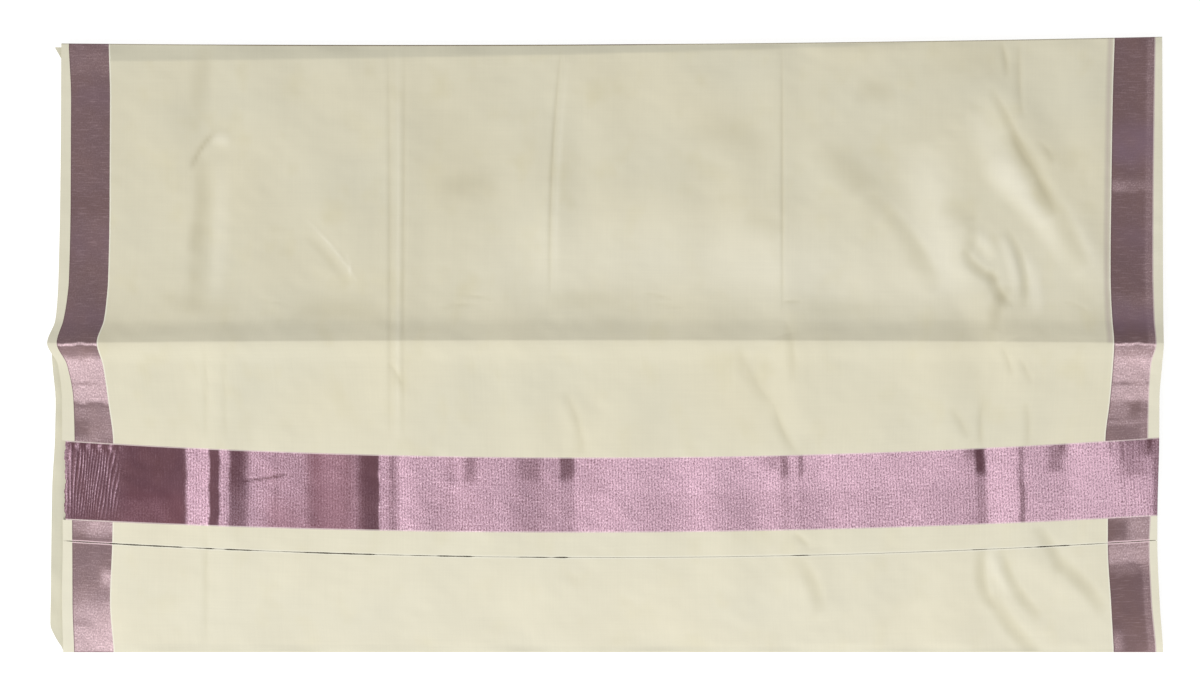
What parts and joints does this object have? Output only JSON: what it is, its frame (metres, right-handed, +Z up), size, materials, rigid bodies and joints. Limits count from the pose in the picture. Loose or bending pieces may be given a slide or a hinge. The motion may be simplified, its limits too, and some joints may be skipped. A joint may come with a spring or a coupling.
{
  "type": "folded kasavu saree",
  "caption": "Cream cotton saree folded into a low flat stack, with woven metallic borders at both selvedges and a wide metallic band across its top length.",
  "frame": {"origin": "middle of the folded stack's flat underside, on the surface that it lies on", "axes": "+X across the cloth from its left selvedge to its right one, +Y along the cloth from the lower fold to the upper fold, +Z up"},
  "size_m": [1.1712, 0.647, 0.0396],
  "materials": {
    "cotton_ground": "plain woven unbleached cotton, matt with a faint sheen",
    "cotton_selvedge": "the same cotton at the woven edge, a little denser",
    "zari_border": "rose-toned metal thread along the warp, satin lustre",
    "zari_band": "rose-toned metal thread along the weft, bright sparkling lustre",
    "cotton_under": "plain woven unbleached cotton, matt, seen at its edges"
  },
  "bodies": {
    "root": {"ground_upper": "cotton_ground", "ground_lower": "cotton_ground", "pallu_band": "zari_band", "selvedge_left_upper": "cotton_selvedge", "selvedge_left_lower": "cotton_selvedge", "border_left_upper": "zari_border", "border_left_lower": "zari_border", "border_right_upper": "zari_border", "border_right_lower": "zari_border", "selvedge_right_upper": "cotton_selvedge", "selvedge_right_lower": "cotton_selvedge", "second_stretch": "cotton_under", "folded_layers": "cotton_under"}
  },
  "joints": []
}
